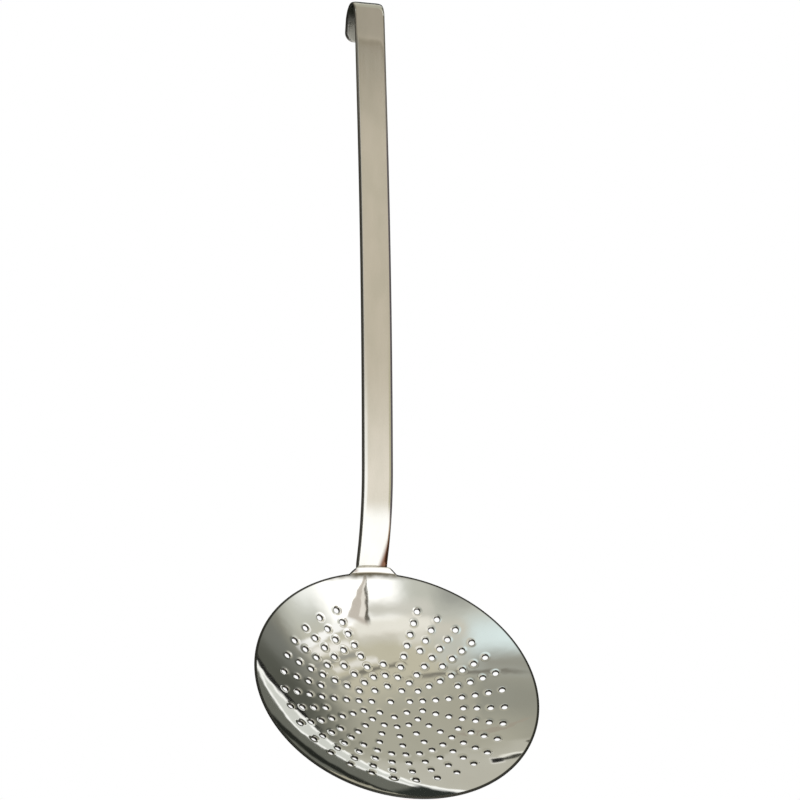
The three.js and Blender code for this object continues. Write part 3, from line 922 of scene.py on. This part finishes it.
    # The side walls: dark on the right, brown and dark on the left.
    cloth = panel(cloth, (0.08, 0.08, 0.07), front, (-200, -11), (-52, 22.5), 2)
    cloth = panel(cloth, (0.42, 0.27, 0.16), front, (44, 80), (-80, -22), 4)
    cloth = panel(cloth, (0.36, 0.22, 0.13), front, (40, 80), (-80, -37), 3)
    cloth = panel(cloth, (0.03, 0.04, 0.04), front, (46, 200), (-80, -33), 5)
    cloth = panel(cloth, (0.20, 0.205, 0.18), front, (62, 200), (-60, 53), 8)
    cloth = panel(cloth, (0.14, 0.125, 0.14), front, (40, 200), (-20, 21), 3)
    # The back wall, paler at one side and along the floor, and a dark corner under the ceiling.
    cloth = panel(cloth, (0.09, 0.09, 0.075), back, (-100, 90), (-60, 46), 6)
    cloth = panel(cloth, (0.50, 0.50, 0.46), back, (-80, 0), (-60, 28), 6)
    cloth = panel(cloth, (0.62, 0.62, 0.58), back, (-70, 75), (-60, -14), 6)
    cloth = panel(cloth, (0.10, 0.104, 0.085), front, (76, 112), (37, 60), 8)

    def above(view, rise):
        """1 where the cloth lies above a rise in the view, soft over LINE_SOFT degrees to both sides."""
        return shader.step(view[1], rise - LINE_SOFT, rise + LINE_SOFT)

    # A strip of cloth overhead. Its two long edges are bright and bent, a shadow lies outside half of the
    # first, and a dark field begins at the second.
    across_strip = shader.step(strip[0], *STRIP_FROM) * (1 - shader.step(strip[0], *STRIP_TO))
    half_strip = across_strip * shader.step(strip[0], *SHADOW_FROM)
    in_strip = across_strip * above(strip, 0) * above(strip_end, 0)
    in_middle = across_strip * above(strip, 1.0) * above(strip_end, 1.0)
    at_field = 1 - (1 - above(field, -0.9)) * (1 - above(field_end, -0.9))
    in_field = 1 - (1 - above(field, 0)) * (1 - above(field_end, 0))
    in_field = across_strip * in_field * above(strip, 0.9) * above(strip_end, 0)
    cloth = shader.mixed(half_strip * above(strip, -1.9) * above(strip_end, -1.9), cloth, STRIP_SHADOW)
    cloth = shader.mixed(in_strip, cloth, STRIP_EDGE)
    cloth = shader.mixed(in_middle, cloth, STRIP_MIDDLE)
    cloth = shader.mixed(in_strip * at_field, cloth, STRIP_EDGE)
    cloth = shader.mixed(in_field, cloth, DARK_FIELD)
    cloth = panel(cloth, (0.02, 0.022, 0.018), strip, (-14, 16), (10.0, 12.6), 0.6)
    cloth = panel(cloth, (0.03, 0.035, 0.03), strip, (-45, -12), (1.4, 45), 0.8)
    # A dark streak overhead between two pale ones.
    cloth = panel(cloth, (0.95, 0.94, 0.85), streak, (-0.6, 6), (0.5, 1.7), 0.5)
    cloth = panel(cloth, (0.85, 0.84, 0.77), streak, (-2.5, 0), (-2.1, 1.0), 0.4)
    cloth = panel(cloth, (0.04, 0.04, 0.03), streak, (-0.6, 6), (-0.6, 0.6), 0.4)
    cloth = panel(cloth, (0.01, 0.01, 0.01), streak, (-2.2, -0.2), (-1.3, 0.5), 0.4)
    shader.surface(shader.glow(cloth))
    return material


tent.data.materials.append(tent_cloth())

FLAG_CORNERS = ((-0.03, -0.06, 0.0), (0.06, -0.06, 0.0), (0.06, -0.06, 0.2), (-0.03, -0.06, 0.2))
FLAG_COLOUR = (0.40, 0.365, 0.295, 1)
flag = make_stage("flag", np.array(FLAG_CORNERS), np.array([[0, 1, 2], [0, 2, 3]]))
flag.visible_camera = False
flag.visible_shadow = False


def flag_cloth():
    """A small flag that keeps the lamp panel out of the bend of the hook: glowing cloth of a dim colour."""
    material = bpy.data.materials.new("flag")
    shader = Shader(material)
    shader.surface(shader.glow(FLAG_COLOUR))
    return material


flag.data.materials.append(flag_cloth())

KEY_PLACE = Vector((0.5, -0.9, 1.7))
KEY_AIM = Vector((0, 0, FLOOR_HEIGHT))
KEY_SIZE = 1.4
KEY_POWER = 42

key_light = bpy.data.lights.new("key", "AREA")
key_light.shape = "DISK"
key_light.size = KEY_SIZE
key_light.energy = KEY_POWER
key = bpy.data.objects.new("key", key_light)
aimed = (KEY_AIM - KEY_PLACE).to_track_quat("-Z", "Y").to_matrix().to_4x4()
key.matrix_world = Matrix.Translation(KEY_PLACE) @ aimed
key.visible_camera = False
key.visible_glossy = False
bpy.context.scene.collection.objects.link(key)

world = bpy.data.worlds.new("white")
bpy.context.scene.world = world
backdrop = Shader(world)
white = backdrop.node("ShaderNodeBackground", {}, {"Color": WHITE, "Strength": 1.0})
backdrop.node("ShaderNodeOutputWorld", {}, {"Surface": white})


# The camera stands a little below the dish and to its left, level with the photograph's eye.
CAMERA_PLACE = Vector((-0.3365, -1.1298, -0.4954))
CAMERA_VIEW = Vector((0.2875, 0.9289, 0.2336))
CAMERA_ROLL = math.radians(-1.68)
FOCAL_PIXELS = 2400
PICTURE_PIXELS = 800

lens = bpy.data.cameras.new("camera")
lens.sensor_width = 36
lens.lens = lens.sensor_width * FOCAL_PIXELS / PICTURE_PIXELS
camera = bpy.data.objects.new("camera", lens)
upright = CAMERA_VIEW.to_track_quat("-Z", "Y").to_matrix().to_4x4()
camera.matrix_world = Matrix.Translation(CAMERA_PLACE) @ upright @ Matrix.Rotation(CAMERA_ROLL, 4, "Z")
bpy.context.scene.collection.objects.link(camera)
bpy.context.scene.camera = camera

bpy.context.scene.view_settings.view_transform = "Standard"
